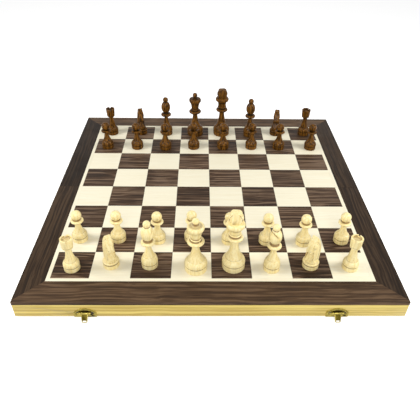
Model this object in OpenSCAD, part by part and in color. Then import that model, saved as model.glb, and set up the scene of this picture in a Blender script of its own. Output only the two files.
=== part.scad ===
// Folding chess box, opened flat with its playing face up and its men in the start position.
// Two equal half-boxes are hinged on the rims' plane, so that they fold under each other and shut.
// Millimetres, +X right, +Y away from the player with the white men, +Z up.
// The origin is at the bottom centre of the whole part.

/* [Box] */
// Width of the board along the seam
board_w = 380; // [340:1:460]
// Depth of each half-box from the seam to its outer rail
half_d = 192; // [175:0.5:240]
// Height of each half-box from its rim to the playing face
half_h = 20.2; // [18:0.1:30]
// Thickness of the outer and side rails
rail_t = 9; // [7:0.5:14]
// Thickness of the rail beside the seam
hinge_rail_t = 12; // [11.5:0.5:16]
// Thickness of the panel under the playing face
panel_t = 3; // [2:0.5:5]
// Width of the rebate that holds the panel
rebate_w = 4.5; // [2:0.5:6]
// Thickness of the felt in each tray
felt_t = 0.8; // [0.5:0.1:1.5]
// Gap between the two halves at the seam
seam_gap = 0.2; // [0.1:0.05:0.5]
// Gap between the rims when the box is shut
shut_gap = 0.1; // [0.05:0.05:0.4]
// Clearance of the panel and the felt in the rails
joint_gap = 0.1; // [0.05:0.05:0.3]

/* [Playing face] */
// Width of the dark border
border_w = 25.2; // [20:0.1:34]
// How much narrower the squares along the edge are
edge_trim = 2.4; // [1:0.1:4]
// Width of the light line round the squares
line_w = 4; // [2:0.1:6]
// Thickness of the squares, the line and the border
veneer_t = 4; // [1.6:0.1:4.4]
// Glue line between neighbouring pieces of the face
glue_line = 0.1; // [0.05:0.05:0.3]

/* [Hinges] */
// Distance of each hinge from the middle of the seam
hinge_x = 120; // [60:1:150]
// Length of a hinge along the seam
hinge_len = 30; // [24:1:40]
// Diameter of the hinge knuckles
barrel_d = 2.6; // [2.4:0.1:3.2]
// Diameter of the hinge pin
hinge_pin_d = 1.2; // [1:0.1:1.4]
// Width of a leaf from the seam
leaf_w = 10; // [8:0.5:10.5]
// Thickness of a leaf
leaf_t = 0.8; // [0.6:0.1:1.2]
// Running clearance of every pin in its bore
pin_play = 0.05; // [0.02:0.01:0.1]
// Gap between neighbouring knuckles
knuckle_gap = 0.2; // [0.1:0.05:0.4]
// Shank diameter of a hinge screw
screw_d = 1.8; // [1.4:0.1:2.2]
// Length of a hinge screw
screw_len = 7; // [5:0.5:9]
// Head diameter of a hinge screw
screw_head_d = 3.4; // [2.8:0.1:4]

/* [Latches] */
// Distance of each latch from the middle of the front rail
latch_x = 122; // [60:1:160]
// Width of a latch plate
plate_w = 22; // [19:0.5:26]
// Height of a latch plate
plate_h = 11.6; // [10.5:0.1:14.5]
// Thickness of a latch plate
plate_t = 0.8; // [0.6:0.1:1]
// Height of the tongue's pin above the rim
latch_pivot_h = 6.6; // [5.5:0.1:7.5]
// Length of the tongue from its pin to its tip
tongue_len = 8.9; // [8.8:0.1:11]
// Width of the tongue
tongue_w = 6.8; // [6:0.1:8]
// Thickness of the tongue
tongue_t = 0.8; // [0.6:0.1:1]
// Diameter of the tongue's pin
latch_pin_d = 1; // [0.8:0.1:1.2]
// Diameter of the eye and the ears round that pin
eye_d = 2.2; // [2.1:0.1:2.6]
// Height of the tip above the floor while the box lies open
tip_lift = 0.2; // [0.1:0.1:0.6]
// Height of the catch hook above the far rim
hook_h = 1; // [0.8:0.1:1.6]
// Thickness of the catch hook
hook_t = 0.8; // [0.6:0.1:0.9]
// Width of the catch hook
hook_w = 3; // [2:0.1:3.4]
// Clearance of the hook in the tongue's slot
slot_play = 0.3; // [0.2:0.05:0.6]
// Length of a plate nail
nail_len = 6; // [4:0.5:8]
// Shank diameter of a plate nail
nail_d = 1.2; // [1:0.1:1.4]
// Head diameter of a plate nail
nail_head_d = 2.4; // [2:0.1:3]

/* [Men] */
// Height of a king
king_h = 70; // [66:0.5:84]
// Diameter of a king's foot
king_d = 23.7; // [22:0.1:28]
// Height of a queen
queen_h = 65; // [61:0.5:80]
// Diameter of a queen's foot
queen_d = 23.4; // [20:0.1:26]
// Height of a bishop
bishop_h = 58; // [54:0.5:70]
// Diameter of a bishop's foot
bishop_d = 17; // [16:0.1:22]
// Height of a knight
knight_h = 40; // [38:0.5:50]
// Diameter of a knight's foot
knight_d = 17; // [16.6:0.1:22]
// Height of a rook
rook_h = 40; // [38:0.5:50]
// Diameter of a rook's foot
rook_d = 16.6; // [16:0.1:22]
// Height of a pawn
pawn_h = 38.5; // [36:0.5:46]
// Diameter of a pawn's foot
pawn_d = 16.6; // [16:0.1:22]
// Height of the disc that a pawn stands on
foot_h = 5.2; // [3:0.1:5.6]
// Depth of the groove above that disc
foot_groove = 1; // [0.3:0.1:1.4]
// Distance between the flats of a king's finial
finial_flat = 9; // [8:0.5:12]
// Depth of the hollow in a rook's head
rook_hollow = 2.6; // [1.5:0.1:4]

/* [Hidden] */
FILES = ["a", "b", "c", "d", "e", "f", "g", "h"];
RANK = ["rook", "knight", "bishop", "queen", "king", "bishop", "knight", "rook"];
function rank_node(side, f) =
    RANK[f] == "queen" || RANK[f] == "king" ? str(side, "_", RANK[f]) : str(side, "_", RANK[f], "_", FILES[f]);
function pawn_node(side, f) = str(side, "_pawn_", FILES[f]);

$fn = 48;
// A cut runs this far past the face that it opens
over = 1;
// Sides of the board that carry a hinge or a latch
SIDES = [-1, 1];

// How far each man of the back ranks stands off its square's middle in X and Y, and how it is turned
WHITE_RANK = [[1.1, -3.9, 20], [-0.7, 1.2, -60], [-2, 0.9, 35], [4.5, -3.5, 0],
              [2.2, -0.3, -6], [0.5, -3.6, 205], [0.3, 0.3, -140], [0.3, -2, 55]];
BLACK_RANK = [[-0.6, -2.2, 10], [1.6, -0.5, -75], [-1.2, -1.9, 15], [0.6, -1.7, 0],
              [-1, -0.2, 8], [0, -4.8, 150], [-0.8, -0.6, -100], [1.2, 0.1, 40]];
// The same for the pawns
WHITE_PAWNS = [[0.3, 0.5, 0], [1.2, 0.3, 40], [3.7, -1.2, 80], [-0.3, 0.9, 10],
               [-0.5, -2, 130], [-0.6, -3, 70], [-1.3, -4.7, 25], [0.5, -1.4, 95]];
BLACK_PAWNS = [[-1.4, -2.6, 15], [0, -3.3, 75], [-0.4, -4.5, 120], [-1, -2.3, 50],
               [0.1, -2.1, 5], [0, -1.5, 140], [-1.4, -2.2, 90], [3.4, -2.5, 35]];

// Heights: the hinge pins lie on the plane where the rims meet
pin_z = barrel_d / 2;
rim_z = pin_z + shut_gap / 2;
face_z = rim_z + half_h;
rail_top_z = face_z - veneer_t;
panel_z = rail_top_z - panel_t;

// The playing field and the line round it
line_x = board_w / 2 - border_w;
field_x = line_x - line_w;
square = (field_x + edge_trim) / 4;

// The tongue swings out until its tip is just above the floor
latch_z = rim_z + latch_pivot_h;
latch_out = plate_t + eye_d / 2 + 0.1;
tongue_swing = acos((latch_z - tip_lift - tongue_t / 2) / tongue_len);
tongue_reach = latch_out + tongue_len * sin(tongue_swing) + tongue_t / 2 * cos(tongue_swing);
hook_reach = latch_out + tongue_t / 2 + 0.8;
ear_gap = 0.2;
ear_len = 2;
pin_head_t = 0.4;
pin_head_d = 1.8;

// The seam lies off the middle, because the tongues stand out further than the hooks
seam_y = (tongue_reach - hook_reach) / 2;

pine = [0.84, 0.74, 0.42];
walnut = [0.27, 0.2, 0.16];
maple = [0.96, 0.94, 0.84];
ply = [0.72, 0.58, 0.4];
felt_green = [0.1, 0.32, 0.18];
brass = [0.62, 0.52, 0.28];
WOOD = [["white", [0.96, 0.87, 0.6]], ["black", [0.3, 0.16, 0.09]]];

// Puts a half-box, drawn from the seam outwards along +Y, in its place
module near_side() {
    translate([0, seam_y - seam_gap / 2, 0])
        mirror([0, 1, 0])
            children();
}
module far_side() {
    translate([0, seam_y + seam_gap / 2, 0])
        children();
}

module block(low, high) {
    translate(low)
        cube(high - low);
}

// The pocket for the panel, cut into the top of the rails
module panel_pocket() {
    side = board_w / 2 - rail_t + rebate_w;
    block([-side, hinge_rail_t - rebate_w, panel_z], [side, half_d - rail_t + rebate_w, rail_top_z + over]);
}

module outer_rail() {
    color(pine)
        difference() {
            block([-board_w / 2, half_d - rail_t, rim_z], [board_w / 2, half_d, rail_top_z]);
            panel_pocket();
            plate_nail_bores();
        }
}

module side_rails() {
    color(pine)
        for (s = SIDES)
            difference() {
                translate([s * (board_w - rail_t) / 2, 0, 0])
                    block([-rail_t / 2, hinge_rail_t, rim_z], [rail_t / 2, half_d - rail_t, rail_top_z]);
                panel_pocket();
            }
}

module hinge_rail() {
    groove_r = barrel_d / 2 + 0.3;
    groove_len = hinge_len + 2 * (pin_head_t + 0.3);
    color(pine)
        difference() {
            block([-board_w / 2, 0, rim_z], [board_w / 2, hinge_rail_t, rail_top_z]);
            panel_pocket();
            for (s = SIDES)
                translate([s * hinge_x, 0, 0]) {
                    block([-hinge_len / 2 - joint_gap, -over, rim_z - over],
                          [hinge_len / 2 + joint_gap, leaf_w + joint_gap, rim_z + leaf_t + joint_gap / 2]);
                    translate([-groove_len / 2, -seam_gap / 2, pin_z])
                        rotate([0, 90, 0])
                            cylinder(r = groove_r, h = groove_len);
                    at_leaf_screws()
                        cylinder(d = screw_d + 2 * pin_play, h = screw_len + joint_gap);
                }
        }
}

module panel() {
    side = board_w / 2 - rail_t + rebate_w - joint_gap;
    color(ply)
        block([-side, hinge_rail_t - rebate_w + joint_gap, panel_z],
              [side, half_d - rail_t + rebate_w - joint_gap, rail_top_z]);
}

module felt_lining() {
    side = board_w / 2 - rail_t - joint_gap;
    color(felt_green)
        block([-side, hinge_rail_t + joint_gap, panel_z - felt_t], [side, half_d - rail_t - joint_gap, panel_z]);
}

// Squares of one colour in a half-box: odd is 1 for those whose column and row add up to an odd number
module squares(odd) {
    for (col = [0:7], row = [0:3])
        if ((col + row) % 2 == odd) {
            left = max((col - 4) * square, -field_x) + glue_line / 2;
            right = min((col - 3) * square, field_x) - glue_line / 2;
            front = row == 0 ? 0 : row * square + glue_line / 2;
            back = min((row + 1) * square, field_x) - glue_line / 2;
            block([left, front, rail_top_z], [right, back, face_z]);
        }
}

// Three strips round three sides of a half-box, mitred at the two corners
module mitred_strips(in_x, in_y, out_x, out_y) {
    translate([0, 0, rail_top_z])
        linear_extrude(veneer_t) {
            for (s = SIDES)
                polygon([[s * in_x, 0], [s * out_x, 0], [s * out_x, out_y - glue_line], [s * in_x, in_y - glue_line]]);
            polygon([[-in_x, in_y], [in_x, in_y], [out_x, out_y], [-out_x, out_y]]);
        }
}
module inlay_line() {
    half_glue = glue_line / 2;
    color(maple)
        mitred_strips(field_x + half_glue, field_x + half_glue, line_x - half_glue, line_x - half_glue);
}
module border_veneer() {
    inner = line_x + glue_line / 2;
    color(walnut)
        mitred_strips(inner, inner, board_w / 2, half_d);
}

// Two screws to a leaf, a quarter of its length in from each end
module at_leaf_screws() {
    for (s = SIDES)
        translate([s * hinge_len / 4, leaf_w * 0.62, rim_z])
            children();
}
module screw() {
    rotate_extrude()
        polygon([[0, 0], [screw_head_d / 2, 0], [screw_d / 2, leaf_t], [screw_d / 2, screw_len - 1], [0, screw_len]]);
}

// A leaf with its knuckles; the near leaf has the two outer ones and the far leaf the middle one
module hinge_leaf(middle) {
    knuckle = hinge_len / 3;
    starts = middle ? [-knuckle / 2] : [-hinge_len / 2, knuckle / 2];
    clear = barrel_d / 2 + 0.25;
    difference() {
        union() {
            block([-hinge_len / 2, clear, rim_z], [hinge_len / 2, leaf_w, rim_z + leaf_t]);
            for (x = starts) {
                low = x + (x > -hinge_len / 2 ? knuckle_gap / 2 : 0);
                high = x + knuckle - (x + knuckle < hinge_len / 2 ? knuckle_gap / 2 : 0);
                block([low, -seam_gap / 2, rim_z], [high, clear + over, rim_z + leaf_t]);
                translate([low, -seam_gap / 2, pin_z])
                    rotate([0, 90, 0])
                        cylinder(d = barrel_d, h = high - low);
            }
        }
        translate([-hinge_len, -seam_gap / 2, pin_z])
            rotate([0, 90, 0])
                cylinder(d = hinge_pin_d + 2 * pin_play, h = 2 * hinge_len);
        at_leaf_screws()
            translate([0, 0, -pin_play])
                cylinder(d1 = screw_head_d + 4 * pin_play, d2 = screw_d + 2 * pin_play, h = leaf_t + 2 * pin_play);
    }
}
module hinge_leaves(middle) {
    color(brass)
        for (s = SIDES)
            translate([s * hinge_x, 0, 0])
                hinge_leaf(middle);
}
module leaf_screws() {
    for (s = SIDES)
        translate([s * hinge_x, 0, 0])
            at_leaf_screws()
                screw();
}

// A pin along X with a peened head at each end
module headed_pin(d, head_d, grip) {
    rotate([0, 90, 0]) {
        cylinder(d = d, h = grip + 2 * pin_head_t, center = true);
        for (s = SIDES)
            translate([0, 0, s * (grip + pin_head_t) / 2])
                cylinder(d = head_d, h = pin_head_t, center = true);
    }
}
module hinge_pins() {
    color(brass)
        for (s = SIDES)
            translate([s * hinge_x, seam_y, pin_z])
                headed_pin(hinge_pin_d, pin_head_d, hinge_len + 0.1);
}

// The outline of a latch plate: a low arch cut straight at its foot and its sides
module plate_outline() {
    drop = 0.2 * plate_h;
    intersection() {
        translate([0, -drop])
            circle(r = plate_h + drop, $fn = 96);
        translate([-plate_w / 2, 0])
            square([plate_w, plate_h]);
    }
}
module plate() {
    translate([0, half_d + plate_t, rim_z])
        rotate([90, 0, 0])
            linear_extrude(plate_t)
                plate_outline();
}
// Two nails to a plate, half-way out to its sides
module at_plate_nails() {
    for (side = SIDES, s = SIDES)
        translate([side * latch_x + s * plate_w * 0.38, half_d, rim_z + plate_h * 0.3])
            rotate([90, 0, 0])
                children();
}
module plate_nail_bores() {
    at_plate_nails()
        translate([0, 0, -over - plate_t])
            cylinder(d = nail_d + 2 * pin_play, h = nail_len + over + joint_gap);
}
module plate_nails() {
    at_plate_nails()
        translate([0, 0, -plate_t]) {
            cylinder(d = nail_d, h = nail_len);
            translate([0, 0, -0.5])
                cylinder(d1 = nail_head_d * 0.6, d2 = nail_head_d, h = 0.5);
        }
}

// The hinge screws and the plate nails of a half-box
module fixings() {
    color(brass) {
        leaf_screws();
        plate_nails();
    }
}

// Length of the tongue's pin between its heads
ear_span = tongue_w + 2 * (ear_gap + ear_len);
module latch_plates() {
    color(brass)
        difference() {
            for (side = SIDES)
                translate([side * latch_x, 0, 0]) {
                    plate();
                    for (s = SIDES)
                        translate([s * (ear_span - ear_len) / 2, 0, 0]) {
                            block([-ear_len / 2, half_d + plate_t / 2, latch_z - eye_d / 2],
                                  [ear_len / 2, half_d + latch_out, latch_z + eye_d / 2]);
                            translate([0, half_d + latch_out, latch_z])
                                rotate([0, 90, 0])
                                    cylinder(d = eye_d, h = ear_len, center = true);
                        }
                }
            plate_nail_bores();
            translate([0, half_d + latch_out, latch_z])
                rotate([0, 90, 0])
                    cylinder(d = latch_pin_d + 2 * pin_play, h = board_w, center = true);
        }
}
module latch_pins() {
    color(brass)
        near_side()
            for (side = SIDES)
                translate([side * latch_x, half_d + latch_out, latch_z])
                    headed_pin(latch_pin_d, pin_head_d, ear_span + 0.1);
}

// A tongue drawn hanging down from its pin, with the slot that drops over the catch hook
module tongue() {
    hook_drop = latch_pivot_h + shut_gap + hook_h;
    slot_h = hook_t + 2 * slot_play;
    difference() {
        union() {
            rotate([0, 90, 0])
                cylinder(d = eye_d, h = tongue_w, center = true);
            block([-tongue_w / 2, -tongue_t / 2, -tongue_len], [tongue_w / 2, tongue_t / 2, 0]);
        }
        rotate([0, 90, 0])
            cylinder(d = latch_pin_d + 2 * pin_play, h = 2 * tongue_w, center = true);
        block([-hook_w / 2 - slot_play, -over, -hook_drop - slot_h / 2],
              [hook_w / 2 + slot_play, over, -hook_drop + slot_h / 2]);
    }
}
module latch_tongue(side) {
    color(brass)
        near_side()
            translate([side * latch_x, half_d + latch_out, latch_z])
                rotate([tongue_swing, 0, 0])
                    tongue();
}

module catch_plates() {
    color(brass)
        difference() {
            for (side = SIDES)
                translate([side * latch_x, 0, 0]) {
                    plate();
                    block([-hook_w / 2, half_d + plate_t / 2, rim_z + hook_h - hook_t / 2],
                          [hook_w / 2, half_d + hook_reach, rim_z + hook_h + hook_t / 2]);
                }
            plate_nail_bores();
        }
}

// Turned shapes: outlines are lists of [radius, height], from the foot up
function arc(r, z, across, up, from, to, n) =
    [for (i = [0:n]) let (a = from + (to - from) * i / n) [r + across * cos(a), z + up * sin(a)]];
// The foot disc, its groove and the dome above it, which ends in a fine line at its shoulder
function disc_h(r) = foot_h + (r - pawn_d / 2) * 0.45;
function dome_r(r) = 0.76 * r;
function foot(r, dome_h) =
    let (disc = disc_h(r), z = disc + 1.5, mid = 0.3 * r, across = r - mid,
         end = acos((dome_r(r) - mid) / across), up = (dome_h - z) / sin(end), neck = r - 0.4 - foot_groove)
    concat(
        [[0, 0]],
        arc(r - 0.85, 0.7, 0.7, 0.7, -90, 0, 3),
        [[r - 0.15, disc - 0.5], [r - 0.6, disc], [neck, disc + 0.05], [neck, disc + 0.8]],
        arc(mid, z, across, up, -asin(0.7 / up), end, 6),
        [[dome_r(r) - 0.4, dome_h + 0.05], [dome_r(r) - 0.5, dome_h + 0.3]]);
// The hollow sweep from the dome's shoulder up to the head; a greater bend is slimmer
function stem(r, dome_h, stem_r, stem_z, bend, n = 9) =
    let (from = dome_r(r) - 0.6)
    [for (i = [0:n]) let (t = (i + 0.2) / (n + 0.2))
        [stem_r + (from - stem_r) * pow(1 - t, bend), dome_h + 0.3 + (stem_z - dome_h - 0.3) * t]];
// A rounded ring
function bead(r, z, half) = arc(r - half, z, half, half, -90, 90, 8);
module turned(outline) {
    rotate_extrude($fn = 64)
        polygon(outline);
}

module pawn() {
    ball_r = 5.5;
    collar_z = pawn_h - 12.4;
    turned(concat(
        foot(pawn_d / 2, 11.2), stem(pawn_d / 2, 11.2, 2.7, collar_z - 2, 2.2),
        bead(6.8, collar_z, 1.3), [[3.6, collar_z + 1.4]],
        arc(0, pawn_h - ball_r, ball_r, ball_r, -52, 90, 12)));
}

module rook() {
    head_z = rook_h - 11;
    wall = 1.8;
    difference() {
        turned(concat(
            foot(rook_d / 2, 11.4), stem(rook_d / 2, 11.4, 3, head_z - 1.5, 1.8),
            arc(4.3, head_z, 1.1, 1.1, -90, 0, 4), [[5.6, head_z + 1.5], [6.25, rook_h - 0.4], [5.9, rook_h]],
            [[6.4 - wall, rook_h], [6.1 - wall, rook_h - rook_hollow], [0, rook_h - rook_hollow]]));
        for (turn = [0, 90])
            rotate([0, 0, turn])
                block([-over - 6.6, -0.9, rook_h - 1.8], [over + 6.6, 0.9, rook_h + over]);
    }
}

module bishop() {
    ball_r = 3.8;
    mitre_z = bishop_h - 22.5;
    collar_z = mitre_z - 4;
    difference() {
        turned(concat(
            foot(bishop_d / 2, 13.8), stem(bishop_d / 2, 13.8, 2.5, collar_z - 2.4, 2),
            bead(7.3, collar_z, 1.8), [[4.1, collar_z + 2], [3.7, mitre_z]],
            arc(0, mitre_z + 7.5, 6.5, 9, -48, 62, 12),
            arc(0, bishop_h - ball_r, ball_r, ball_r, -45, 90, 8)));
        translate([0, 0, mitre_z + 9])
            rotate([0, -52, 0])
                block([0.5, -7, -0.5], [9, 7, 0.5]);
    }
}

module queen() {
    ball_r = 3.4;
    crown_z = queen_h - 24;
    collar_z = crown_z - 4.4;
    turned(concat(
        foot(queen_d / 2, 13.4), stem(queen_d / 2, 13.4, 3.3, collar_z - 2.4, 2.2),
        bead(8.7, collar_z, 1.8), [[5.4, collar_z + 2]],
        bead(5.7, crown_z - 0.6, 0.7), [[4.8, crown_z + 0.4], [5.5, crown_z + 4.4], [6.9, crown_z + 9.4]],
        arc(7.4, crown_z + 13, 1.2, 2.4, -56, 90, 7),
        [[5, crown_z + 15.2], [3.4, crown_z + 16.4], [2.3, crown_z + 17.2]],
        arc(0, queen_h - ball_r, ball_r, ball_r, -46, 90, 10)));
}

module king() {
    crown_z = king_h - 24;
    collar_z = crown_z - 6.8;
    turned(concat(
        foot(king_d / 2, 13.9), stem(king_d / 2, 13.9, 3.5, collar_z - 2.5, 2.2),
        bead(8.3, collar_z, 1.8), [[5.6, collar_z + 2.1]],
        bead(6.3, crown_z - 2, 0.9), [[5.5, crown_z - 0.8], [5.9, crown_z + 4], [6.4, crown_z + 6.2]],
        arc(7.6, crown_z + 9.4, 1.8, 2.6, -62, 84, 8),
        [[7, crown_z + 12.2], [0, crown_z + 12.2]]));
    intersection() {
        turned(concat(
            [[0, crown_z + 11], [5.8, crown_z + 11], [5.8, crown_z + 12.8]],
            arc(4.6, crown_z + 17.6, 2.8, 4.6, -64, 60, 8),
            [[5.8, king_h - 1.6], [5.4, king_h - 0.4], [4.8, king_h], [0, king_h]]));
        block([-king_d, -finial_flat / 2, 0], [king_d, finial_flat / 2, king_h + over]);
    }
}

// The shoulder of a knight's foot
knight_dome = disc_h(knight_d / 2) + 2.8;
// The horse's head, looking along +X: its side outline cut to a front outline that narrows upwards
module horse_head() {
    z = knight_h;
    low = knight_dome + 1.3;
    intersection() {
        translate([0, knight_d, 0])
            rotate([90, 0, 0])
                linear_extrude(2 * knight_d)
                    polygon([[-5.6, low], [-6.9, z - 25], [-7.4, z - 18], [-6.2, z - 10.5], [-3.9, z - 4.6],
                             [-1.5, z - 1.8], [0.4, z], [1.6, z - 2.6], [4, z - 6], [7.4, z - 12.6],
                             [8.3, z - 15.6], [7.6, z - 17.8], [5.4, z - 18], [3.6, z - 16.8],
                             [1.4, z - 17.4], [1, z - 20], [3.2, z - 24], [4.8, z - 28], [5.4, low]]);
        rotate([90, 0, 90])
            translate([0, 0, -knight_d])
                linear_extrude(2 * knight_d)
                    polygon([[-5.6, low], [5.6, low], [5.1, z - 20], [4.6, z - 10],
                             [3.6, z], [-3.6, z], [-4.6, z - 10], [-5.1, z - 20]]);
    }
}
// Grooves of the mane, square to the neck's back line
module mane_grooves() {
    for (i = [0:5])
        translate([-7.3 + 0.12 * i * i, 0, knight_h - 24 + 3.6 * i])
            rotate([0, 45 - 4 * i, 0])
                cube([1.1, knight_d, 1.1], center = true);
}
module knight() {
    turned(concat(
        foot(knight_d / 2, knight_dome), bead(7, knight_dome + 1.1, 0.7), [[0, knight_dome + 1.9]]));
    difference() {
        horse_head();
        mane_grooves();
        // The mouth
        translate([7.6, 0, knight_h - 15.4])
            rotate([0, 25, 0])
                cube([4.4, knight_d, 0.7], center = true);
        // The eyes
        for (s = SIDES)
            translate([2.4, s * 4.8, knight_h - 8.4])
                rotate([90, 0, 0])
                    cylinder(d = 1.5, h = 1.6, center = true);
        // The notch between the ears
        translate([-0.4, 0, knight_h])
            rotate([45, 0, 0])
                cube([8, 1.5, 1.5], center = true);
    }
}

module man(kind) {
    if (kind == "king") king();
    if (kind == "queen") queen();
    if (kind == "bishop") bishop();
    if (kind == "knight") knight();
    if (kind == "rook") rook();
    if (kind == "pawn") pawn();
}
// Stands a man on the square at column f of row r, counted from the near left corner
module stand(side, kind, f, r, off) {
    paint = WOOD[search([side], WOOD)[0]][1];
    color(paint)
        translate([(f - 3.5) * square + off[0], seam_y + (r - 3.5) * square + off[1], face_z])
            rotate([0, 0, off[2]])
                man(kind);
}
module rank_man(side, f) {
    white = side == "white";
    stand(side, RANK[f], f, white ? 0 : 7, white ? WHITE_RANK[f] : BLACK_RANK[f]);
}
module pawn_man(side, f) {
    white = side == "white";
    stand(side, "pawn", f, white ? 1 : 6, white ? WHITE_PAWNS[f] : BLACK_PAWNS[f]);
}

near_side() panel();  // near_panel
near_side() color(walnut) squares(1);  // near_dark_squares
near_side() color(maple) squares(0);  // near_light_squares
near_side() inlay_line();  // near_inlay_line
near_side() border_veneer();  // near_border_veneer
near_side() outer_rail();  // near_front_rail
near_side() hinge_rail();  // near_hinge_rail
near_side() side_rails();  // near_side_rails
near_side() felt_lining();  // near_felt_lining
near_side() latch_plates();  // near_latch_plates
near_side() hinge_leaves(false);  // near_hinge_leaves
near_side() fixings();  // near_fixings
hinge_pins();
latch_pins();
latch_tongue(-1);  // left_latch_tongue
latch_tongue(1);  // right_latch_tongue
far_side() panel();  // far_panel
far_side() color(walnut) squares(0);  // far_dark_squares
far_side() color(maple) squares(1);  // far_light_squares
far_side() inlay_line();  // far_inlay_line
far_side() border_veneer();  // far_border_veneer
far_side() outer_rail();  // far_back_rail
far_side() hinge_rail();  // far_hinge_rail
far_side() side_rails();  // far_side_rails
far_side() felt_lining();  // far_felt_lining
far_side() catch_plates();  // far_catch_plates
far_side() hinge_leaves(true);  // far_hinge_leaves
far_side() fixings();  // far_fixings
for (side = ["white", "black"], f = [0:7]) {
    rank_man(side, f);
    pawn_man(side, f);
}
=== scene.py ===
# %% [markdown]
# # A folding chess box, open, with its men set up
# The real thing is two shallow half-boxes hinged together. Opened flat they form the board, and folded
# under each other they shut round the men. Two brass latches on the near rail keep it shut.
# The engineering model is loaded first and stays where it is. Its flat, sharp parts only get a finish here,
# and its turned, carved, pressed and soft parts are replaced by finer ones in the same places.

# %% Load the model that everything is fitted to
import math

import bmesh
import bpy
from mathutils import Matrix, Vector, noise


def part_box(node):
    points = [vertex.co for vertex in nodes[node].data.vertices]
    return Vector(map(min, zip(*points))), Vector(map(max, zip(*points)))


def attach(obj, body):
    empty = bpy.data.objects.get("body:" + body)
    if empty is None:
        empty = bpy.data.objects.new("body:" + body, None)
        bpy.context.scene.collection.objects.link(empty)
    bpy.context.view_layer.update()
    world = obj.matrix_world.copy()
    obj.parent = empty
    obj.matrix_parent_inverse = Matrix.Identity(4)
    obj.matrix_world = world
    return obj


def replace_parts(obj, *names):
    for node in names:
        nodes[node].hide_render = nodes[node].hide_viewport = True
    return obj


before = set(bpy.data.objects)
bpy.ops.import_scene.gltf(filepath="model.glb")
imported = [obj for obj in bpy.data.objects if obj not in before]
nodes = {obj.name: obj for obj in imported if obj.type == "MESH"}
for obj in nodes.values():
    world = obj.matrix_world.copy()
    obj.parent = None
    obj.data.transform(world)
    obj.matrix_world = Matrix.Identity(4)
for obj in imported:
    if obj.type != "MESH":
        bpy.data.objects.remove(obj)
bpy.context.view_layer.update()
MM = 0.001

# %% [markdown]
# ## Sizes that several steps share
# A dressed piece sits where the model's part is, so heights and edges are read from the model's boxes
# wherever they can be. The rest repeats the sizes that the model was drawn with, in millimetres.

# %% Shared places
SIDES = (-1, 1)
FACE_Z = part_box("near_dark_squares")[1].z / MM
RIM_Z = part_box("near_front_rail")[0].z / MM
NEAR_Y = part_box("near_front_rail")[0].y / MM
FAR_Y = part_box("far_back_rail")[1].y / MM
SEAM_Y = (NEAR_Y + FAR_Y) / 2
SQUARE = 40.8
print("face", round(FACE_Z, 2), "rim", round(RIM_Z, 2), "seam", round(SEAM_Y, 3))

# %% [markdown]
# ## The camera
# The photographer stood close and looked down at about 38 degrees. The camera's place, turn and lens
# were found by matching the corners of the squares, so the picture lines up with the photograph.
# A matrix is used instead of angles: its columns are the camera's right, its up and its back.

# %% Place the camera
def new_object(name, data):
    """An object in the scene that shows a mesh, a camera or a lamp."""
    made = bpy.data.objects.new(name, data)
    bpy.context.scene.collection.objects.link(made)
    return made


CAMERA_AT = Vector((-0.011554, -0.487213, 0.360319))
PITCH, YAW, ROLL = math.radians(37.5375), math.radians(1.4968), math.radians(1.1456)
ahead = Vector((math.sin(YAW) * math.cos(PITCH), math.cos(YAW) * math.cos(PITCH), -math.sin(PITCH)))
level = ahead.cross(Vector((0, 0, 1))).normalized()
over = level.cross(ahead)
right = level * math.cos(ROLL) + over * math.sin(ROLL)
up = over * math.cos(ROLL) - level * math.sin(ROLL)
camera = new_object("camera", bpy.data.cameras.new("camera"))
camera.data.lens = 39.986
camera.data.clip_start = 0.01
camera.matrix_world = Matrix.Translation(CAMERA_AT) @ Matrix((right, up, -ahead)).transposed().to_4x4()
bpy.context.scene.camera = camera
bpy.context.scene.view_settings.view_transform = "Standard"
print("camera looks along", [round(a, 3) for a in ahead])

# %% [markdown]
# ## Helpers for material nodes
# A material is a graph of nodes. Small helpers keep the cells short: one adds a node and fills or links
# its inputs, and others do the same for a sum, a range and a mix. The last ones start and use
# a node group, which is an effect that several materials share, each with its own values.

# %% Node helpers
def add_node(tree, kind, feeds=None, **settings):
    """Adds a shader node; feeds holds a number, a colour or another node's output for each input."""
    made = tree.nodes.new("ShaderNode" + kind)
    for name, value in settings.items():
        setattr(made, name, value)
    for socket, value in (feeds or {}).items():
        if isinstance(value, bpy.types.NodeSocket):
            tree.links.new(value, made.inputs[socket])
        else:
            made.inputs[socket].default_value = value
    return made


def math_of(tree, operation, *values):
    """The result of a Math node."""
    return add_node(tree, "Math", dict(enumerate(values)), operation=operation).outputs[0]


def spread(tree, value, low, high, to_low=0.0, to_high=1.0):
    """Spreads the part of a value between low and high over another range."""
    feeds = {0: value, 1: low, 2: high, 3: to_low, 4: to_high}
    return add_node(tree, "MapRange", feeds).outputs[0]


def mix_colour(tree, mask, first, second, blend="MIX"):
    """A colour between two others, by a mask from 0 to 1."""
    feeds = {0: mask, 6: first, 7: second}
    return add_node(tree, "Mix", feeds, data_type="RGBA", blend_type=blend).outputs[2]


def tint(tree, colour, mask, share, other):
    """Lays a share of another colour over a colour where the mask is white."""
    return mix_colour(tree, math_of(tree, "MULTIPLY", mask, share), colour, other)


def new_group(name, outputs, **inputs):
    """A new node group and its inner sockets; one called Vector is a vector, and the rest are numbers."""
    group = bpy.data.node_groups.new(name, "ShaderNodeTree")
    for way, titles in (("INPUT", inputs), ("OUTPUT", outputs)):
        for title in titles:
            kind = "NodeSocketVector" if title == "Vector" else "NodeSocketFloat"
            socket = group.interface.new_socket(name=title, in_out=way, socket_type=kind)
            if inputs.get(title) and way == "INPUT":
                socket.default_value = inputs[title]
    return group, group.nodes.new("NodeGroupInput").outputs, group.nodes.new("NodeGroupOutput").inputs


def use_group(tree, group, **feeds):
    """Places a group in a material, and gives its outputs."""
    return add_node(tree, "Group", feeds, node_tree=group).outputs


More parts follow.
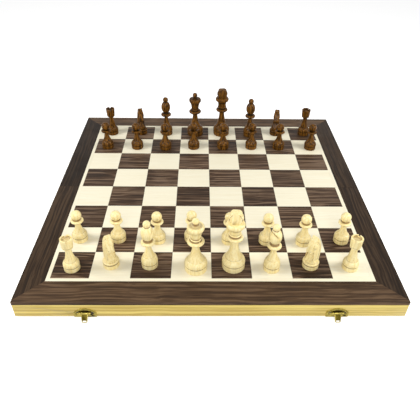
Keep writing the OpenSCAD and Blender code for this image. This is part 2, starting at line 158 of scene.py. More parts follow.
def noise_of(tree, vector, scale, detail=2.0):
    """Soft noise about 0.5; the scale says how many blots there are to the metre."""
    feeds = {"Vector": vector, "Scale": scale, "Detail": detail}
    return add_node(tree, "TexNoise", feeds).outputs[0]


def rgb(red, green, blue):
    """A colour as the eye reads it, from 0 to 255, turned into the light values that Blender wants."""
    return tuple((c / 255 / 12.92 if c <= 10 else ((c / 255 + 0.055) / 1.055) ** 2.4)
                 for c in (red, green, blue)) + (1.0,)


print("mid grey:", round(rgb(128, 128, 128)[0], 3))

# %% [markdown]
# ## Wood fibre
# Wood is a bundle of long fibres, so its pattern is noise that is stretched along the grain: broad
# streaks, fine fibres on them, and short dark pores. Wave textures give ruler-straight
# stripes, so stretched noise that wanders a little was chosen. Grain runs along the group's X.

# %% Build the wood fibre group
fibre_group, given, result = new_group(
    "wood fibre", ["Streak", "Fibre", "Pores"], Vector=None, Length=0.05, Width=0.002, Wander=0.002)
tree = fibre_group
parts = add_node(tree, "SeparateXYZ", {0: given["Vector"]}).outputs
drift = noise_of(tree, given["Vector"], 22.0, 1.0)
sway = math_of(tree, "MULTIPLY", math_of(tree, "SUBTRACT", drift, 0.5), given["Wander"])
along = math_of(tree, "DIVIDE", parts[0], given["Length"])
across = [math_of(tree, "DIVIDE", math_of(tree, "ADD", parts[i], sway), given["Width"])
          for i in (1, 2)]
for title, along_by, across_by, detail in (("Streak", 1, 1, 3), ("Fibre", 3, 3.7, 2), ("Pores", 5, 4.6, 1)):
    run = [math_of(tree, "MULTIPLY", along, along_by)]
    run += [math_of(tree, "MULTIPLY", a, across_by) for a in across]
    place = add_node(tree, "CombineXYZ", dict(enumerate(run))).outputs[0]
    pattern = noise_of(tree, place, 1.0, float(detail))
    low, high = (0.6, 0.72) if title == "Pores" else (0.25, 0.75)
    tree.links.new(spread(tree, pattern, low, high), result[title])
print("wood fibre group:", len(fibre_group.nodes), "nodes")

# %% [markdown]
# ## Cut from different boards
# Every square was cut from a different place of the sheet, so neighbours never share their grain. The square
# that a point lies in is found by rounding its place down, and a random number for that square moves
# the pattern and changes its tone. Border strips do the same, with the grain along each strip, and the two
# at the sides get painted shade: their fibres point at the viewer and throw less light back, so their colour
# is darkened.

# %% Build the groups that tell one cut piece from the next
square_group, given, result = new_group(
    "cut squares", ["Vector", "Tone"], Vector=None, Side=SQUARE * MM, Seam=SEAM_Y * MM)
tree = square_group
parts = add_node(tree, "SeparateXYZ", {0: given["Vector"]}).outputs
column = math_of(tree, "FLOOR", math_of(tree, "DIVIDE", parts[0], given["Side"]))
from_seam = math_of(tree, "SUBTRACT", parts[1], given["Seam"])
row = math_of(tree, "FLOOR", math_of(tree, "DIVIDE", from_seam, given["Side"]))
which = add_node(tree, "CombineXYZ", {0: column, 1: row}).outputs[0]
chance = add_node(tree, "TexWhiteNoise", {"Vector": which}, noise_dimensions="3D").outputs
moved = add_node(tree, "VectorMath", {0: chance["Color"], 1: given["Vector"]}, operation="ADD")
tree.links.new(moved.outputs[0], result["Vector"])
tree.links.new(chance["Value"], result["Tone"])

strip_group, given, result = new_group(
    "mitred strips", ["Vector", "Tone"], Vector=None, Seam=SEAM_Y * MM)
tree = strip_group
parts = add_node(tree, "SeparateXYZ", {0: given["Vector"]}).outputs
from_seam = math_of(tree, "SUBTRACT", parts[1], given["Seam"])
is_side = math_of(tree, "GREATER_THAN", math_of(tree, "ABSOLUTE", parts[0]),
                  math_of(tree, "ABSOLUTE", from_seam))
swapped = {0: from_seam, 1: parts[0], 2: parts[2]}
turned_round = add_node(tree, "CombineXYZ", swapped).outputs[0]
strip_run = add_node(tree, "Mix", {0: is_side, 4: given["Vector"], 5: turned_round},
                     data_type="VECTOR").outputs[1]
corner = [math_of(tree, "SIGN", p) for p in (parts[0], from_seam)]
side_of = math_of(tree, "ADD", math_of(tree, "MULTIPLY", is_side, corner[0]), 2.0)
which = add_node(tree, "CombineXYZ", {0: side_of, 1: corner[1], 2: is_side}).outputs[0]
chance = add_node(tree, "TexWhiteNoise", {"Vector": which}, noise_dimensions="3D").outputs
moved = add_node(tree, "VectorMath", {0: chance["Color"], 1: strip_run}, operation="ADD")
tree.links.new(moved.outputs[0], result["Vector"])
front_tone = spread(tree, chance["Value"], 0.0, 1.0, 0.55, 0.7)
# Painted shade: the tone of the two side strips is lowered, because their fibres throw less light back.
tree.links.new(math_of(tree, "SUBTRACT", front_tone, math_of(tree, "MULTIPLY", is_side, 0.5)),
                      result["Tone"])
print("cut groups:", square_group.name, strip_group.name)

# %% [markdown]
# ## Handling
# Whatever is handled gets uneven: polish wears, fingers leave soft patches, and dust settles.
# This group gives slow patches for roughness, and a sparse mask of specks.

# %% Build the handling group
handling_group, given, result = new_group(
    "handling", ["Patches", "Specks"], Vector=None, Patch=0.02, Speck=0.0012)
tree = handling_group
for title, size, low, high in (("Patches", "Patch", 0.35, 0.7), ("Specks", "Speck", 0.7, 0.76)):
    scale = math_of(tree, "DIVIDE", 1.0, given[size])
    pattern = noise_of(tree, given["Vector"], scale)
    tree.links.new(spread(tree, pattern, low, high), result[title])

# Pointiness gives masks of the edges and the hollows. The brass takes its worn edges and its patina from
# them, and the men take painted shade in their grooves.
wear_and_shade_group, given, result = new_group("edges and hollows", ["Edges", "Hollows"], Reach=0.08)
tree = wear_and_shade_group
pointy = add_node(tree, "NewGeometry").outputs["Pointiness"]
above = math_of(tree, "ADD", 0.5, given["Reach"])
below = math_of(tree, "SUBTRACT", 0.5, given["Reach"])
tree.links.new(spread(tree, pointy, 0.5, above), result["Edges"])
tree.links.new(spread(tree, pointy, 0.5, below), result["Hollows"])
print("handling and wear groups built")

# %% [markdown]
# ## A start for every material
# Each material reads the piece's own coordinates, in metres, so its pattern has the real scale and
# stays on the piece when a joint moves it. Plain numbers go straight onto the shader.

# %% Start a material
def new_material(name, **plain):
    """A material with its shader, its node tree and the piece's coordinates."""
    made = bpy.data.materials.new(name)
    made.use_nodes = True
    tree = made.node_tree
    tree.nodes.clear()
    shader = add_node(tree, "BsdfPrincipled", {k.replace("_", " "): v for k, v in plain.items()})
    output = add_node(tree, "OutputMaterial")
    tree.links.new(shader.outputs[0], output.inputs[0])
    return made, tree, shader, add_node(tree, "TexCoord").outputs["Object"]


def turn_axes(tree, vector, rotation):
    """Turns a pattern, so that its X runs along another direction of the piece."""
    return add_node(tree, "Mapping", {"Vector": vector, "Rotation": rotation}).outputs[0]


def raise_surface(tree, shader, height, depth, strength=1.0):
    """Lets a pattern stand up from the surface by a depth in metres."""
    bump = add_node(tree, "Bump", {"Height": height, "Distance": depth, "Strength": strength})
    tree.links.new(bump.outputs[0], shader.inputs["Normal"])


def finish_from(tree, shader, colour, roughness):
    tree.links.new(colour, shader.inputs["Base Color"])
    tree.links.new(roughness, shader.inputs["Roughness"])


def dress(names, material):
    """Gives parts of the model their material."""
    for name in names:
        nodes[name].data.materials.clear()
        nodes[name].data.materials.append(material)


print("material helpers ready")

# %% [markdown]
# ## Dark veneer
# The dark squares and the border are thin brown veneer under a satin lacquer. Streaks of light and
# dark run from left to right in every square, and along each strip of the border.

# %% Make the dark veneer
def dark_veneer(name, cut_group, deep, middle, pale, tones):
    made, tree, shader, place = new_material(name, Specular_IOR_Level=0.1)
    cut = use_group(tree, cut_group, Vector=place)
    fibre = use_group(tree, fibre_group, Vector=cut["Vector"], Length=0.09, Width=0.0024, Wander=0.005)
    touch = use_group(tree, handling_group, Vector=place)
    colour = mix_colour(tree, spread(tree, fibre["Streak"], 0.28, 0.52), deep, middle)
    colour = mix_colour(tree, spread(tree, fibre["Streak"], 0.5, 0.74), colour, pale)
    colour = tint(tree, colour, fibre["Fibre"], 0.2, pale)
    colour = tint(tree, colour, fibre["Pores"], 0.6, rgb(38, 26, 18))
    tone = spread(tree, cut["Tone"], 0.0, 1.0, *tones)
    colour = mix_colour(tree, 1.0, colour, tone, "MULTIPLY")
    finish_from(tree, shader, colour, spread(tree, touch["Patches"], 0.0, 1.0, 0.4, 0.52))
    raise_surface(tree, shader, fibre["Fibre"], 0.00006)
    return made


square_walnut = dark_veneer("dark veneer squares", square_group,
                            rgb(34, 22, 14), rgb(72, 52, 37), rgb(124, 102, 82), (0.8, 1.14))
border_walnut = dark_veneer("dark veneer border", strip_group,
                            rgb(52, 38, 26), rgb(76, 57, 40), rgb(98, 77, 57), (0.2, 1.6))
dress(["near_dark_squares", "far_dark_squares"], square_walnut)
dress(["near_border_veneer", "far_border_veneer"], border_walnut)
print("dark veneer on", len(nodes["near_dark_squares"].data.materials), "slot")

# %% [markdown]
# ## Light veneer
# The light squares and the thin line round the field are almost white wood with hardly any figure.
# What shows is a faint fibre and a slightly warmer or cooler tone from square to square.

# %% Make the light veneer
def light_veneer(name, cut_group):
    made, tree, shader, place = new_material(name, Specular_IOR_Level=0.3)
    cut = use_group(tree, cut_group, Vector=place)
    fibre = use_group(tree, fibre_group, Vector=cut["Vector"], Length=0.06, Width=0.0026, Wander=0.006)
    touch = use_group(tree, handling_group, Vector=place)
    colour = mix_colour(tree, fibre["Streak"], rgb(236, 227, 198), rgb(242, 236, 212))
    colour = tint(tree, colour, fibre["Pores"], 0.16, rgb(206, 190, 148))
    tone = spread(tree, cut["Tone"], 0.0, 1.0, 0.965, 1.0)
    colour = mix_colour(tree, 1.0, colour, tone, "MULTIPLY")
    finish_from(tree, shader, colour, spread(tree, touch["Patches"], 0.0, 1.0, 0.42, 0.52))
    raise_surface(tree, shader, fibre["Fibre"], 0.00003)
    return made


dress(["near_light_squares", "far_light_squares"], light_veneer("light veneer squares", square_group))
dress(["near_inlay_line", "far_inlay_line"], light_veneer("light veneer line", strip_group))
print("light veneer made")

# %% [markdown]
# ## Pine and plywood
# The rails are clear-lacquered pine. Its summer wood shows as darker amber bands along the rail, so the
# broad streak is spread unevenly between a pale and an amber tone. The side rails need the grain
# along Y. The panel is cheap plywood, which is seen only inside the tray.

# %% Make the rail wood and the panel
def rail_wood(name, turn):
    made, tree, shader, place = new_material(name, Coat_Weight=0.35, Coat_Roughness=0.22)
    place = turn_axes(tree, place, (0, 0, turn))
    fibre = use_group(tree, fibre_group, Vector=place, Length=0.4, Width=0.0036, Wander=0.003)
    touch = use_group(tree, handling_group, Vector=place)
    band = spread(tree, fibre["Streak"], 0.34, 0.66)
    colour = mix_colour(tree, band, rgb(228, 205, 104), rgb(180, 152, 50))
    colour = tint(tree, colour, fibre["Fibre"], 0.3, rgb(190, 160, 70))
    colour = tint(tree, colour, fibre["Pores"], 0.25, rgb(150, 112, 50))
    finish_from(tree, shader, colour, spread(tree, touch["Patches"], 0.0, 1.0, 0.34, 0.46))
    raise_surface(tree, shader, fibre["Streak"], 0.00005)
    return made


pine_along = rail_wood("pine with the grain from left to right", 0)
pine_deep = rail_wood("pine with the grain from near to far", math.pi / 2)
plywood, tree, shader, place = new_material("plywood")
fibre = use_group(tree, fibre_group, Vector=place, Length=0.09, Width=0.003, Wander=0.012)
colour = mix_colour(tree, fibre["Streak"], rgb(196, 162, 112), rgb(170, 132, 86))
finish_from(tree, shader, colour, spread(tree, fibre["Fibre"], 0.0, 1.0, 0.6, 0.75))
raise_surface(tree, shader, fibre["Fibre"], 0.00008)
dress(["near_panel", "far_panel"], plywood)
print("rail wood made")

# %% [markdown]
# ## Rails with eased edges
# Sandpaper takes the sharp corner off every rail. The model's rails are copied, their loose triangles are
# joined, and only their long edges are bevelled. The rebate and the nail holes stay as they are.

# %% Ease the edges of the rails
def round_edges(bm, edges, width, segments=2, **more):
    """Bevels edges of a shape."""
    bmesh.ops.bevel(bm, geom=edges, offset=width, offset_type="OFFSET", affect="EDGES", segments=segments,
                    profile=0.5, material=-1, **more)


def face_outwards(bm):
    bmesh.ops.recalc_face_normals(bm, faces=bm.faces)


def join_triangles(bm):
    """Makes loose triangles one closed shape with flat faces."""
    bmesh.ops.remove_doubles(bm, verts=bm.verts, dist=0.000002)
    bmesh.ops.dissolve_limit(bm, angle_limit=math.radians(0.5), verts=bm.verts, edges=bm.edges)
    face_outwards(bm)


def mesh_of(name, bm):
    """Turns a shape into a mesh; the shape is used up."""
    mesh = bpy.data.meshes.new(name)
    bm.to_mesh(mesh)
    bm.free()
    return mesh


def new_piece(name, bm, material, body, smooth=30):
    """Turns a shape into a piece of the object, which rides on a body."""
    return piece_from_mesh(name, mesh_of(name, bm), material, body, smooth)


def piece_from_mesh(name, mesh, material, body, smooth=30):
    mesh.name = name
    mesh.materials.clear()
    mesh.materials.append(material)
    mesh.polygons.foreach_set("use_smooth", [True] * len(mesh.polygons))
    mesh.set_sharp_from_angle(angle=math.radians(smooth))
    piece = new_object(name, mesh)
    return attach(piece, body)


def eased(node, material, body, width, shortest):
    """A copy of a part of the model whose long edges are rounded off, by a width in millimetres."""
    bm = bmesh.new()
    bm.from_mesh(nodes[node].data)
    join_triangles(bm)
    edges = [e for e in bm.edges if len(e.link_faces) == 2 and e.calc_face_angle() > 1.2
             and e.calc_length() > shortest * MM]
    round_edges(bm, edges, width * MM, clamp_overlap=True)
    piece = new_piece("eased_" + node, bm, material, body)
    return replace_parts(piece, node)


RAIL_EASE, RAIL_SHORTEST = 0.35, 15
for node in ("near_front_rail", "near_hinge_rail", "near_side_rails",
             "far_back_rail", "far_hinge_rail", "far_side_rails"):
    material = pine_deep if "side" in node else pine_along
    body = node.split("_")[0] + "_half"
    piece = eased(node, material, body, RAIL_EASE, RAIL_SHORTEST)
print("last rail has", len(piece.data.polygons), "faces")

# %% [markdown]
# ## Old brass
# The latches and hinges are stamped brass with a brown tint. Handling keeps the edges bright, and
# the tint stays in the hollows, so the edge mask leads to a brighter metal and the hollow mask
# to a darker and rougher one.

# %% Make the brass
brass, tree, shader, place = new_material("antique brass")
wear_and_shade = use_group(tree, wear_and_shade_group, Reach=0.04)
touch = use_group(tree, handling_group, Vector=place, Patch=0.004, Speck=0.0007)
colour = mix_colour(tree, touch["Patches"], rgb(92, 80, 27), rgb(60, 51, 14))
colour = mix_colour(tree, wear_and_shade["Hollows"], colour, rgb(24, 17, 4))
colour = tint(tree, colour, wear_and_shade["Edges"], 0.8, rgb(180, 163, 84))
colour = tint(tree, colour, touch["Specks"], 0.6, rgb(88, 66, 30))
finish_from(tree, shader, colour, spread(tree, touch["Patches"], 0.0, 1.0, 0.26, 0.44))
tree.links.new(spread(tree, wear_and_shade["Hollows"], 0.0, 1.0, 1.0, 0.6), shader.inputs["Metallic"])
raise_surface(tree, shader, touch["Patches"], 0.00004)
dress(["hinge_pins", "latch_pins"], brass)
print("brass made")

# %% [markdown]
# ## Turning and carving
# A lathe makes a shape from one outline, and so does spin: it sweeps the outline round the axis and
# welds the last step to the first. What a lathe can't do, such as a slit, is cut
# afterwards with a Boolean modifier, which is applied at once.

# %% Helpers for turned and carved shapes
def arc(middle_r, middle_z, across, rise, start, stop, steps):
    """Points of an arc as (radius, height), from one angle to another in degrees."""
    angles = [math.radians(start + (stop - start) * i / steps) for i in range(steps + 1)]
    return [(middle_r + across * math.cos(a), middle_z + rise * math.sin(a)) for a in angles]


def turned(outline, steps=80):
    """Spins an outline of (radius, height) points in millimetres into a closed shape."""
    bm = bmesh.new()
    line = [bm.verts.new((r, 0, z)) for r, z in outline]
    edges = [bm.edges.new(pair) for pair in zip(line, line[1:])]
    bmesh.ops.spin(bm, geom=line + edges, cent=(0, 0, 0), axis=(0, 0, 1), dvec=(0, 0, 0),
                   angle=2 * math.pi, steps=steps, use_merge=True, use_duplicate=False)
    bmesh.ops.remove_doubles(bm, verts=bm.verts, dist=0.001)
    face_outwards(bm)
    return bm


def block(low, high, bevel=0.0, segments=2):
    """A box between two corners in millimetres, with its edges rounded."""
    bm = bmesh.new()
    bmesh.ops.create_cube(bm, size=1)
    size = Vector(high) - Vector(low)
    bmesh.ops.scale(bm, vec=size, verts=bm.verts)
    bmesh.ops.translate(bm, vec=(Vector(high) + Vector(low)) / 2, verts=bm.verts)
    if bevel:
        round_edges(bm, bm.edges[:], bevel, segments)
    return bm


def put(bm, matrix):
    """Moves or turns a whole shape."""
    bmesh.ops.transform(bm, matrix=matrix, verts=bm.verts)
    return bm


def joined(shapes):
    """Several shapes in one mesh; each of them is used up."""
    whole = bmesh.new()
    for bm in shapes:
        mesh = mesh_of("part", bm)
        whole.from_mesh(mesh)
        bpy.data.meshes.remove(mesh)
    return whole


def shaped(bm, modifiers, cutter=None):
    """Applies modifiers to a shape; a Boolean among them takes the cutter away."""
    made = []
    for shape in filter(None, (bm, cutter)):
        made.append(new_object("part", mesh_of("part", shape)))
    for kind, settings in modifiers:
        modifier = made[0].modifiers.new(kind, kind)
        if kind == "BOOLEAN":
            modifier.object = made[1]
        for name, value in settings.items():
            setattr(modifier, name, value)
    bpy.context.view_layer.update()
    finished = made[0].evaluated_get(bpy.context.evaluated_depsgraph_get())
    result = bpy.data.meshes.new_from_object(finished)
    whole = bmesh.new()
    whole.from_mesh(result)
    for o in made:
        bpy.data.meshes.remove(o.data)
    bpy.data.meshes.remove(result)
    return whole


CUT = ("BOOLEAN", {"operation": "DIFFERENCE", "solver": "EXACT"})
CUT_CROSSING = ("BOOLEAN", {"operation": "DIFFERENCE", "solver": "EXACT", "use_self": True})
print("turning and carving helpers ready")

# %% [markdown]
# ## Hinges
# The leaves keep the model's shape, with their edges rounded as a press leaves them. The screws have a
# countersunk head with a slot, and the latch plates' nails have a small dome.

# %% Hinge leaves, screws and nails
HINGE_X, HINGE_LEN, LEAF_W, LEAF_T = 120, 30, 10, 0.8
LEAF_EASE, LEAF_SHORTEST = 0.12, 1.5
LATCH_X, PLATE_W, PLATE_H, PLATE_T = 122, 22, 11.6, 0.8
SCREW_HEAD_R, SCREW_R, SCREW_LEN = 1.7, 0.9, 7
NAIL_HEAD_R, NAIL_R, NAIL_LEN = 1.2, 0.6, 6
HALF_GAP = 0.1
TO_SIDE = {"near": Matrix.Translation((0, SEAM_Y - HALF_GAP, 0)) @ Matrix.Scale(-1, 4, (0, 1, 0)),
           "far": Matrix.Translation((0, SEAM_Y + HALF_GAP, 0))}
HALF_D = FAR_Y - SEAM_Y - HALF_GAP


def to_half(shapes, half):
    """Puts shapes, drawn in millimetres from the seam outwards along +Y, in their half-box."""
    bm = put(joined(shapes), Matrix.Scale(MM, 4) @ TO_SIDE[half])
    face_outwards(bm)
    return bm


def screw():
    head = [(0, 0), (SCREW_HEAD_R - 0.15, 0), (SCREW_HEAD_R, 0.12)]
    shank = [(SCREW_R, LEAF_T), (SCREW_R, SCREW_LEN - 1), (0, SCREW_LEN)]
    slot = block((-0.25, -3, -0.5), (0.25, 3, 0.42))
    return shaped(turned(head + shank, 40), [CUT], slot)


def nail():
    head = arc(0, -PLATE_T, NAIL_HEAD_R, 0.5, -90, 0, 6)
    return turned(head + [(NAIL_R, -PLATE_T), (NAIL_R, NAIL_LEN - PLATE_T - 1), (0, NAIL_LEN - PLATE_T)], 40)


for half in ("near", "far"):
    body = half + "_half"
    eased(half + "_hinge_leaves", brass, body, LEAF_EASE, LEAF_SHORTEST)
    shapes = []
    for side in SIDES:
        for s in SIDES:
            turn = Matrix.Rotation(0.7 * side + 0.4 * s + len(half), 4, "Z")
            at = Matrix.Translation((side * HINGE_X + s * HINGE_LEN / 4, LEAF_W * 0.62, RIM_Z))
            shapes.append(put(screw(), at @ turn))
            at = Matrix.Translation((side * LATCH_X + s * PLATE_W * 0.38, HALF_D, RIM_Z + PLATE_H * 0.3))
            shapes.append(put(nail(), at @ Matrix.Rotation(math.pi / 2, 4, "X")))
    piece = new_piece(half + "_screws_and_nails", to_half(shapes, half), brass, body)
    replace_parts(piece, half + "_fixings")
print("fixings:", len(piece.data.polygons), "faces in each half")

# %% [markdown]
# ## Latch plates
# Each plate is a low arch of thin brass with a bead pressed into it near the rim. Two ears stand up in
# the middle and hold the tongue's pin. The plates on the far rail have no ears but a
# small hook, over which the tongue drops when the box is shut.

# %% Press the plates
LATCH_PIVOT_H, LATCH_OUT, EYE_R, EAR_X, EAR_LEN = 6.6, 2.0, 1.1, 4.6, 2.0
HOOK_H, HOOK_T, HOOK_W, HOOK_REACH = 1.0, 0.8, 3.0, 3.2
PRESSED = ((1, 0), (1, 0.62), (0.985, 0.8), (0.92, 0.8), (0.89, 1.08), (0.82, 1.08), (0.78, 0.8),
           (0.45, 0.84), (0.15, 0.86))


def low_arch():
    """The plate lying flat: its outline is repeated smaller and higher, as the press shapes it."""
    drop = 0.2 * PLATE_H
    corner = math.degrees(math.acos(PLATE_W / 2 / (PLATE_H + drop)))
    outline = [(PLATE_W / 2 - 0.4, 0), (PLATE_W / 2, 0.4)]
    outline += arc(0, -drop, PLATE_H + drop, PLATE_H + drop, corner, 180 - corner, 48)
    outline += [(-PLATE_W / 2, 0.4), (0.4 - PLATE_W / 2, 0)]
    bm = bmesh.new()
    rings = [[bm.verts.new((x * size, PLATE_H * 0.42 * (1 - size) + y * size, z)) for x, y in outline]
             for size, z in PRESSED]
    for ring, following in zip(rings, rings[1:]):
        for i in range(len(outline)):
            bm.faces.new((ring[i - 1], ring[i], following[i], following[i - 1]))
    bm.faces.new(rings[0])
    bm.faces.new(rings[-1])
    face_outwards(bm)
    return bm


def upright(bm, side):
    """Stands a flat pressing up on the outer rail, its front outwards."""
    at = Matrix.Translation((side * LATCH_X, HALF_D, RIM_Z))
    flip = Matrix(((1, 0, 0, 0), (0, 0, 1, 0), (0, 1, 0, 0), (0, 0, 0, 1)))
    return put(bm, at @ flip)


def round_rims(bm):
    """Rounds the two end rims of a short rod."""
    round_edges(bm, [e for e in bm.edges if abs(e.calc_face_angle() - math.pi / 2) < 0.2], 0.2)


def ear(s):
    bm = bmesh.new()
    bmesh.ops.create_cone(bm, cap_ends=True, segments=32, radius1=EYE_R, radius2=EYE_R, depth=EAR_LEN)
    bmesh.ops.rotate(bm, cent=(0, 0, 0), matrix=Matrix.Rotation(math.pi / 2, 3, "Y"), verts=bm.verts)
    bmesh.ops.translate(bm, vec=(s * EAR_X, LATCH_PIVOT_H, LATCH_OUT), verts=bm.verts)
    root = [v for v in bm.verts if v.co.z < LATCH_OUT + 0.01]
    for v in root:
        v.co.z -= LATCH_OUT - PLATE_T / 2
    round_rims(bm)
    return bm


def hook():
    half_w, half_t = HOOK_W / 2, HOOK_T / 2
    return block((-half_w, HOOK_H - half_t, PLATE_T / 2), (half_w, HOOK_H + half_t, HOOK_REACH), 0.25, 3)


plates = {"near": [], "far": []}
for side in SIDES:
    plates["near"] += [upright(bm, side) for bm in (low_arch(), ear(-1), ear(1))]
    plates["far"] += [upright(bm, side) for bm in (low_arch(), hook())]
for half, node in (("near", "near_latch_plates"), ("far", "far_catch_plates")):
    shape = to_half(plates[half], half)
    piece = new_piece("pressed_" + node, shape, brass, half + "_half", 40)
    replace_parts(piece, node)
print("plates:", [round(s / MM, 2) for s in piece.dimensions])

# %% [markdown]
# ## Latch tongues
# A tongue is one strip, rolled round its pin and a little narrower towards the lip that the finger
# lifts. It starts as a grid that is given its width and its bend point by point, gets
# its thickness with solidify, and then its slot.

# %% Shape the tongues
TONGUE_LEN, TONGUE_W, TONGUE_T = 8.9, 6.8, 0.8
TIP_LIFT = 0.2
latch_z = RIM_Z + LATCH_PIVOT_H
swing = math.acos((latch_z - TIP_LIFT - TONGUE_T / 2) / TONGUE_LEN)


def tongue_half_width(share):
    """Half the tongue's width, from its eye at 0 to its lip at 1."""
    tip = max(0, (share - 0.88) / 0.12)
    return TONGUE_W / 2 - 0.1 - 0.75 * share - 0.6 * (1 - math.sqrt(max(0, 1 - tip ** 2)))


def tongue():
    bm = bmesh.new()
    bmesh.ops.create_grid(bm, x_segments=14, y_segments=28, size=0.5)
    for v in bm.verts:
        side, share = v.co.x * 2, v.co.y + 0.5
        crown = 0.28 * math.sin(math.pi * share) * (1 - side * side * 0.6)
        lip = 0.12 * max(0, share - 0.8) / 0.2
        v.co = Vector((side * tongue_half_width(share), crown + lip - 0.38, -TONGUE_LEN * share))
    face_outwards(bm)
    bmesh.ops.solidify(bm, geom=bm.faces[:], thickness=0.62)
    slot = block((-1.8, -3, -8.4), (1.8, 3, -7.0), 0.4, 3)
    strip = shaped(bm, [CUT], slot)
    eye = bmesh.new()
    bmesh.ops.create_cone(eye, cap_ends=True, segments=40, radius1=EYE_R, radius2=EYE_R, depth=TONGUE_W)
    round_rims(eye)
    bmesh.ops.rotate(eye, cent=(0, 0, 0), matrix=Matrix.Rotation(math.pi / 2, 3, "Y"), verts=eye.verts)
    return joined([strip, eye])


for side, name in ((-1, "left_latch"), (1, "right_latch")):
    at = Matrix.Translation((side * LATCH_X, HALF_D + LATCH_OUT, latch_z)) @ Matrix.Rotation(swing, 4, "X")
    shape = to_half([put(tongue(), at)], "near")
    piece = new_piece(name + "_duck_bill", shape, brass, name, 40)
    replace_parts(piece, name + "_tongue")
print("tongue swings out by", round(math.degrees(swing), 1), "degrees")

# %% [markdown]
# ## Felt lining
# Each tray is lined with green felt, glued to the panel, so it lies flat but never quite level. A fine
# grid with a slow unevenness of a third of a millimetre is enough. Felt has no weave: its
# fibres lie every way, so its colour and its bump are fine noise with a little sheen.

# %% Cut and lay the felt
felt, tree, shader, place = new_material("green felt", Sheen_Weight=0.5, Sheen_Roughness=0.6)
fuzz = noise_of(tree, place, 1400.0, 3.0)
cloud = noise_of(tree, place, 45.0)
colour = mix_colour(tree, spread(tree, fuzz, 0.35, 0.65), rgb(24, 66, 38), rgb(46, 104, 62))
colour = mix_colour(tree, spread(tree, cloud, 0.3, 0.7, 0.0, 0.35), colour, rgb(30, 82, 50))
finish_from(tree, shader, colour, spread(tree, fuzz, 0.3, 0.7, 0.85, 1.0))
raise_surface(tree, shader, fuzz, 0.0003)

FELT_T, FELT_DIP = 0.45 * MM, 0.0003
for half in ("near", "far"):
    low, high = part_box(half + "_felt_lining")
    size, middle = high - low, (high + low) / 2
    bm = bmesh.new()
    bmesh.ops.create_grid(bm, x_segments=90, y_segments=42, size=0.5)
    for v in bm.verts:
        v.co = Vector((middle.x + v.co.x * size.x, middle.y + v.co.y * size.y, high.z))
        v.co.z -= FELT_DIP * (0.5 + 0.5 * noise.noise(v.co * 30))
    face_outwards(bm)
    bmesh.ops.solidify(bm, geom=bm.faces[:], thickness=FELT_T)
    lowest = min(v.co.z for v in bm.verts)
    bmesh.ops.translate(bm, vec=(0, 0, low.z - lowest), verts=bm.verts)
    piece = new_piece(half + "_felt", bm, felt, half + "_half")
    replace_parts(piece, half + "_felt_lining")
print("felt:", round(size.x / MM, 1), "x", round(size.y / MM, 1), "mm")

# %% [markdown]
# ## Wood of the men
# The light men are waxed boxwood and the dark men a reddish brown wood under gloss lacquer. Both were turned
# from long sticks, so the grain stands upright. The hollow mask darkens the grooves as painted shade, and
# every man differs because each reads the pattern at its own place. A band of painted shade fills the groove
# round the foot, and it lies higher on the king and the queen, so each wood is made twice.

# %% Make the men's wood
SMALL_DISC, LARGE_DISC = 5.25, 6.77


def men_wood(name, disc_h, pale, deep, groove, roughness, **plain):
    made, tree, shader, place = new_material(name, **plain)
    height = add_node(tree, "SeparateXYZ", {0: place}).outputs[2]
    # Painted shade: a dark band between the disc and the dome, in the groove round the foot.
    over_disc = math_of(tree, "GREATER_THAN", height, (FACE_Z + disc_h - 0.2) * MM)
    under_dome = math_of(tree, "LESS_THAN", height, (FACE_Z + disc_h + 0.95) * MM)
    groove_shade = math_of(tree, "MULTIPLY", math_of(tree, "MULTIPLY", over_disc, under_dome), 0.7)
    place = turn_axes(tree, place, (0, math.pi / 2, 0))
    fibre = use_group(tree, fibre_group, Vector=place, Length=0.03, Width=0.0018, Wander=0.004)
    touch = use_group(tree, handling_group, Vector=place)
    wear_and_shade = use_group(tree, wear_and_shade_group, Reach=0.035)
    colour = mix_colour(tree, spread(tree, fibre["Streak"], 0.3, 0.7), pale, deep)
    colour = tint(tree, colour, fibre["Fibre"], 0.35, pale)
    colour = tint(tree, colour, fibre["Pores"], 0.3, groove)
    # Painted shade: the hollows are darkened towards the groove colour.
    colour = tint(tree, colour, wear_and_shade["Hollows"], 0.85, groove)
    colour = mix_colour(tree, groove_shade, colour, groove)
    finish_from(tree, shader, colour, spread(tree, touch["Patches"], 0.0, 1.0, roughness, roughness + 0.1))
    raise_surface(tree, shader, fibre["Fibre"], 0.00003)
    return made


boxwood, brown_wood = {}, {}
for size, disc_h in (("small", SMALL_DISC), ("large", LARGE_DISC)):
    boxwood[size] = men_wood("waxed boxwood of " + size + " men", disc_h,
                             rgb(249, 233, 176), rgb(238, 214, 142), rgb(116, 78, 22), 0.36,
                             Coat_Weight=0.15, Coat_Roughness=0.25)
    brown_wood[size] = men_wood("lacquered brown wood of " + size + " men", disc_h,
                                rgb(116, 76, 25), rgb(26, 14, 4), rgb(8, 5, 1), 0.32,
                                Coat_Weight=0.12, Coat_Roughness=0.12, Specular_IOR_Level=0.04)
print("men's wood made")

# %% [markdown]
# ## Turned men
# All men share one foot: a disc, a groove and a dome, from which a hollow sweep rises to the stem. The
# heads differ. Each outline is drawn from the foot up, in millimetres.

# %% Outlines that the men share
GROOVE, SHOULDER = 1.0, 0.76
FEET = {"pawn": (8.3, 11.2), "rook": (8.3, 11.4), "bishop": (8.5, 13.8), "knight": (8.5, 8.09),
        "queen": (11.7, 13.4), "king": (11.85, 13.9)}


